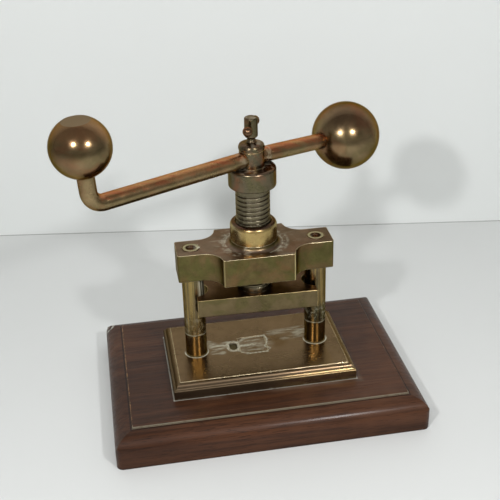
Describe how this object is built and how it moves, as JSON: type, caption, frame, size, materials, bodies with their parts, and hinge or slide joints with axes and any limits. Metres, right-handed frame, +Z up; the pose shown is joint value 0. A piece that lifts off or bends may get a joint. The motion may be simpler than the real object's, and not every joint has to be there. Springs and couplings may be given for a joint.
{
  "type": "bench screw press",
  "caption": "Small brass bench screw press: moulded wooden board, bed plate, columns, crosshead, screw with a ball-weighted fly arm, and a sliding platen.",
  "frame": {"origin": "middle of the underside of the board, on the axis of the screw", "axes": "+Z up along the screw axis, +X along the crosshead towards the counterweight ball, -Y towards the front of the press"},
  "size_m": [0.2501, 0.163, 0.2517],
  "materials": {
    "mahogany": "polished dark red-brown hardwood with fine grain along its length, pale worn edge lines",
    "plate_brass": "aged polished brass with brown patina, golden worn edges",
    "head_bronze": "aged brown brass with olive-gold front faces and bright worn edges",
    "bright_brass": "rubbed golden brass with darker hollows",
    "copper_brass": "reddish tarnished brass bar, satin, with fine draw lines",
    "dull_brass": "small brass screws and washers, dull brown",
    "screw_metal": "machined brass thread, bright crests and dark oily roots"
  },
  "bodies": {
    "frame": {"base_board": "mahogany", "bed_plate": "plate_brass", "plate_screws": "dull_brass", "column_left": "bright_brass", "column_right": "bright_brass", "column_washers": "dull_brass", "column_nuts": "dull_brass", "crosshead": "head_bronze", "screw_nut": "bright_brass", "nut_lock_screw": "dull_brass"},
    "platen": {"platen": "head_bronze"},
    "screw": {"press_screw": "screw_metal", "swivel_washer": "dull_brass", "swivel_screw": "dull_brass", "fly_head": "bright_brass", "head_lock_screw": "dull_brass", "fly_arm": "copper_brass", "grip_ball": "bright_brass", "counter_ball": "bright_brass"},
    "clamp": {"clamp_screw": "bright_brass"},
    "tommy": {"tommy_bar": "dull_brass", "tommy_ball_front": "bright_brass", "tommy_ball_back": "bright_brass"}
  },
  "joints": [
    {"name": "platen_travel", "type": "slide", "parent": "frame", "child": "platen", "axis": [0, 0, 1], "range_m": [-0.0272, 0.0099]},
    {"name": "screw_turn", "type": "hinge", "parent": "platen", "child": "screw", "pos_m": [0, 0, 0.1], "axis": [0, 0, 1], "range_deg": [-2790, 1008]},
    {"name": "clamp_turn", "type": "hinge", "parent": "screw", "child": "clamp", "pos_m": [0, 0, 0.2159], "axis": [0, 0, 1], "range_deg": [0, 270]},
    {"name": "tommy_slide", "type": "slide", "parent": "clamp", "child": "tommy", "axis": [0.3746, 0.9272, 0], "range_m": [-0.0034, 0.0023]}
  ],
  "couplings": [
    {"joint": "platen_travel", "follows": "screw_turn", "m_per_rad": 0.00055704}
  ]
}
